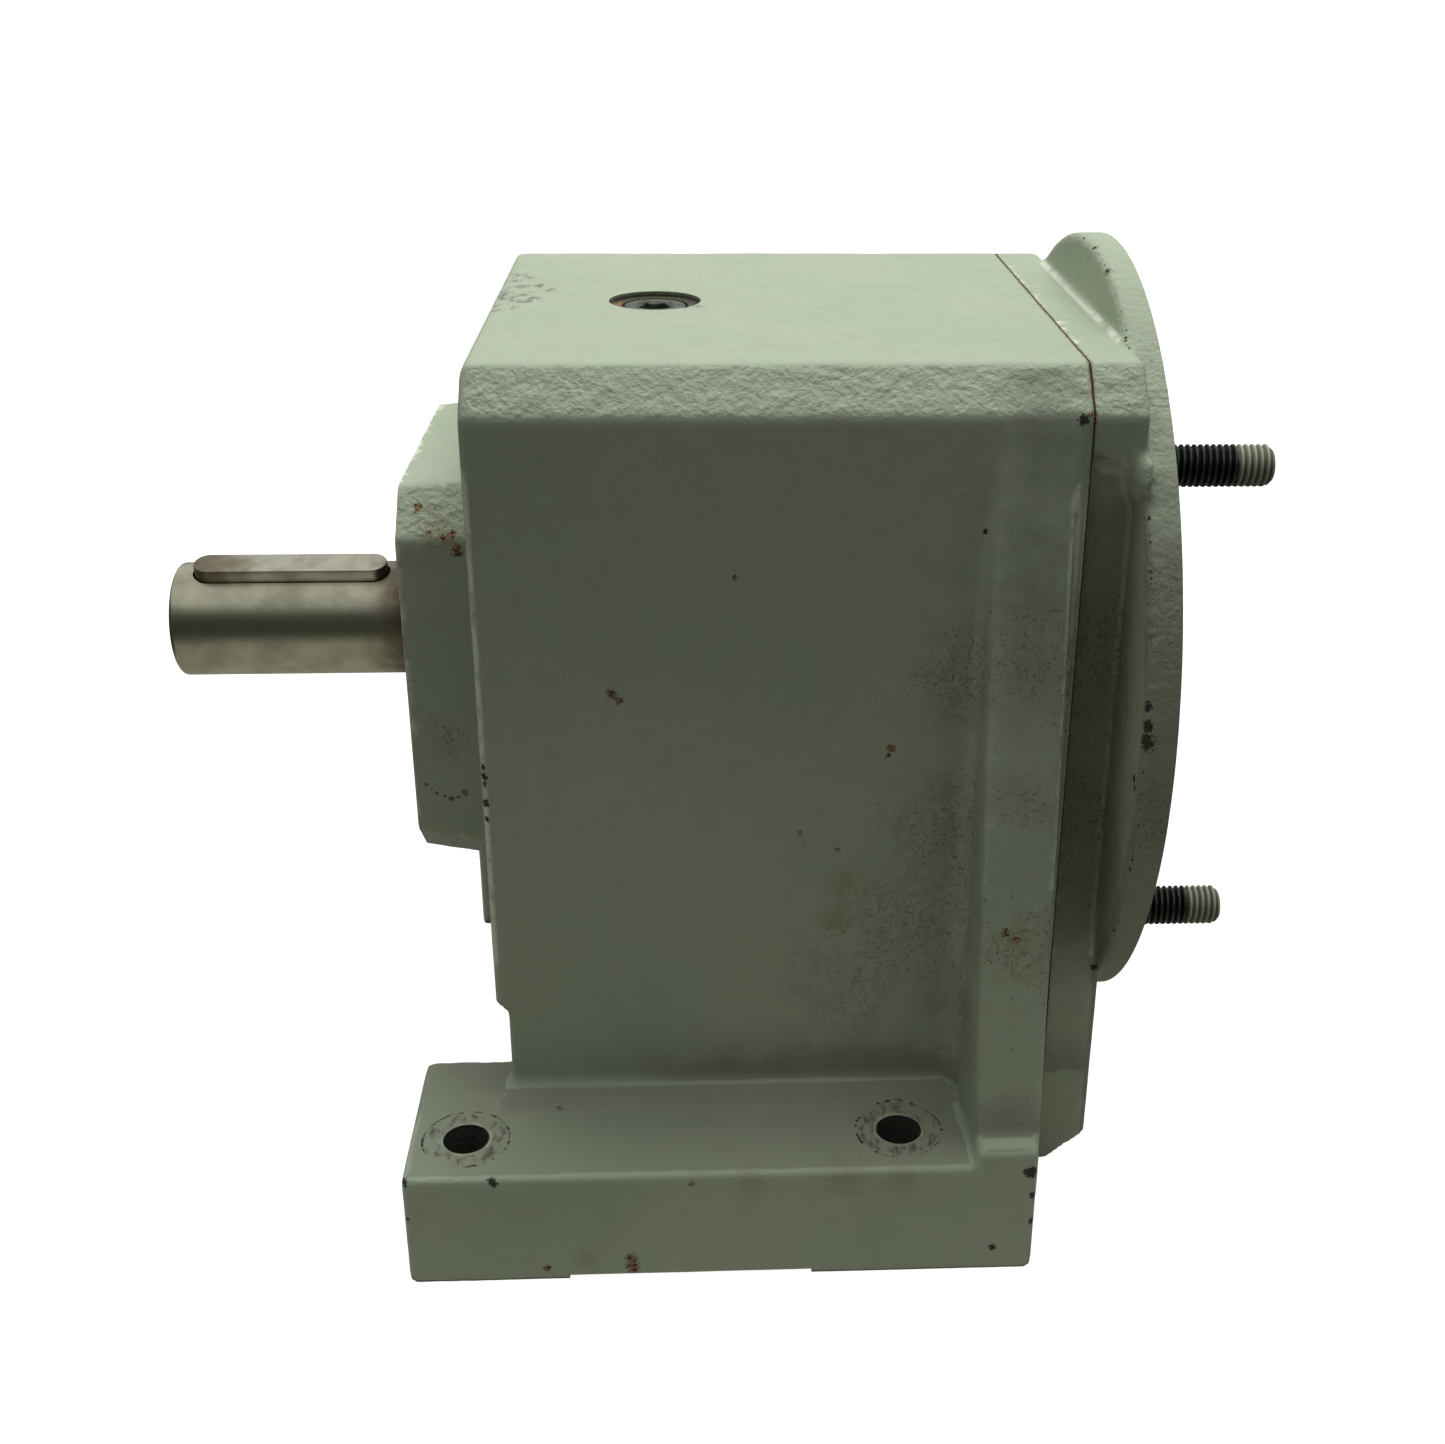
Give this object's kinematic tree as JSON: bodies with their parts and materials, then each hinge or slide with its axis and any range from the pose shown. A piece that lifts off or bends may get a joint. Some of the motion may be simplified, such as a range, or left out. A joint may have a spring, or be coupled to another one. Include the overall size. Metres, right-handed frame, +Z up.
{
  "type": "inline helical gearbox",
  "caption": "Foot-mounted inline gearbox with a keyed output shaft, a round motor flange with threaded studs, and a helical gear train inside.",
  "frame": {"origin": "centre of the overall box at the height of the foot pads", "axes": "+X from the output shaft towards the motor flange along the shaft axis, +Y towards the rear side, +Z up"},
  "size_m": [0.269, 0.214, 0.232],
  "materials": {
    "paint": "satin",
    "gasket": "matte",
    "raw_casting": "matte",
    "black_oxide": "satin",
    "ground_steel": "satin",
    "gear_steel": "satin",
    "bearing_steel": "gloss",
    "cage_brass": "satin",
    "seal_rubber": "matte"
  },
  "bodies": {
    "casing": {"housing": "paint", "input_cover": "paint", "cover_gasket": "gasket", "bearing_plate": "raw_casting", "plate_screw_1": "black_oxide", "plate_screw_2": "black_oxide", "plate_screw_3": "black_oxide", "plate_screw_4": "black_oxide", "cover_screw_1": "black_oxide", "cover_screw_2": "black_oxide", "cover_screw_3": "black_oxide", "cover_screw_4": "black_oxide", "cover_screw_5": "black_oxide", "cover_screw_6": "black_oxide", "cover_dowel_1": "ground_steel", "cover_dowel_2": "ground_steel", "motor_stud_1": "black_oxide", "motor_stud_2": "black_oxide", "motor_stud_3": "black_oxide", "motor_stud_4": "black_oxide", "filler_plug": "black_oxide", "level_plug": "black_oxide", "drain_plug": "black_oxide", "output_seal": "seal_rubber", "input_seal": "seal_rubber", "output_front_bearing_outer_ring": "bearing_steel", "output_rear_bearing_outer_ring": "bearing_steel", "counter_left_bearing_outer_ring": "bearing_steel", "counter_right_bearing_outer_ring": "bearing_steel", "input_inner_bearing_outer_ring": "bearing_steel", "input_outer_bearing_outer_ring": "bearing_steel"},
    "output_train": {"output_shaft": "ground_steel", "output_key": "ground_steel", "output_wheel": "gear_steel", "output_wheel_key": "ground_steel", "output_spacer": "ground_steel", "output_front_bearing_inner_ring": "bearing_steel", "output_rear_bearing_inner_ring": "bearing_steel"},
    "counter_train": {"counter_shaft": "gear_steel", "first_stage_wheel": "gear_steel", "first_stage_wheel_key": "ground_steel", "counter_spacer": "ground_steel", "counter_left_bearing_inner_ring": "bearing_steel", "counter_right_bearing_inner_ring": "bearing_steel"},
    "input_train": {"input_shaft": "gear_steel", "input_spacer": "ground_steel", "input_inner_bearing_inner_ring": "bearing_steel", "input_outer_bearing_inner_ring": "bearing_steel"},
    "output_front_cage": {"output_front_bearing_balls": "cage_brass"},
    "output_rear_cage": {"output_rear_bearing_balls": "cage_brass"},
    "counter_left_cage": {"counter_left_bearing_balls": "cage_brass"},
    "counter_right_cage": {"counter_right_bearing_balls": "cage_brass"},
    "input_inner_cage": {"input_inner_bearing_balls": "cage_brass"},
    "input_outer_cage": {"input_outer_bearing_balls": "cage_brass"}
  },
  "joints": [
    {"name": "output_spin", "type": "hinge", "parent": "casing", "child": "output_train", "pos_m": [0, 0, 0.132], "axis": [1, 0, 0], "continuous": true},
    {"name": "counter_spin", "type": "hinge", "parent": "casing", "child": "counter_train", "pos_m": [0, 0, 0.072], "axis": [1, 0, 0], "continuous": true},
    {"name": "input_spin", "type": "hinge", "parent": "casing", "child": "input_train", "pos_m": [0, 0, 0.132], "axis": [1, 0, 0], "continuous": true},
    {"name": "output_front_cage_spin", "type": "hinge", "parent": "casing", "child": "output_front_cage", "pos_m": [0, 0, 0.132], "axis": [1, 0, 0], "continuous": true},
    {"name": "output_rear_cage_spin", "type": "hinge", "parent": "casing", "child": "output_rear_cage", "pos_m": [0, 0, 0.132], "axis": [1, 0, 0], "continuous": true},
    {"name": "counter_left_cage_spin", "type": "hinge", "parent": "casing", "child": "counter_left_cage", "pos_m": [0, 0, 0.072], "axis": [1, 0, 0], "continuous": true},
    {"name": "counter_right_cage_spin", "type": "hinge", "parent": "casing", "child": "counter_right_cage", "pos_m": [0, 0, 0.072], "axis": [1, 0, 0], "continuous": true},
    {"name": "input_inner_cage_spin", "type": "hinge", "parent": "casing", "child": "input_inner_cage", "pos_m": [0, 0, 0.132], "axis": [1, 0, 0], "continuous": true},
    {"name": "input_outer_cage_spin", "type": "hinge", "parent": "casing", "child": "input_outer_cage", "pos_m": [0, 0, 0.132], "axis": [1, 0, 0], "continuous": true}
  ],
  "couplings": [
    {"joint": "counter_spin", "follows": "output_spin", "ratio": -3.125},
    {"joint": "input_spin", "follows": "output_spin", "ratio": 11.029},
    {"joint": "output_front_cage_spin", "follows": "output_spin", "ratio": 0.396},
    {"joint": "output_rear_cage_spin", "follows": "output_spin", "ratio": 0.397},
    {"joint": "counter_left_cage_spin", "follows": "output_spin", "ratio": -1.1938},
    {"joint": "counter_right_cage_spin", "follows": "output_spin", "ratio": -1.1938},
    {"joint": "input_inner_cage_spin", "follows": "output_spin", "ratio": 4.3676},
    {"joint": "input_outer_cage_spin", "follows": "output_spin", "ratio": 4.3676}
  ]
}
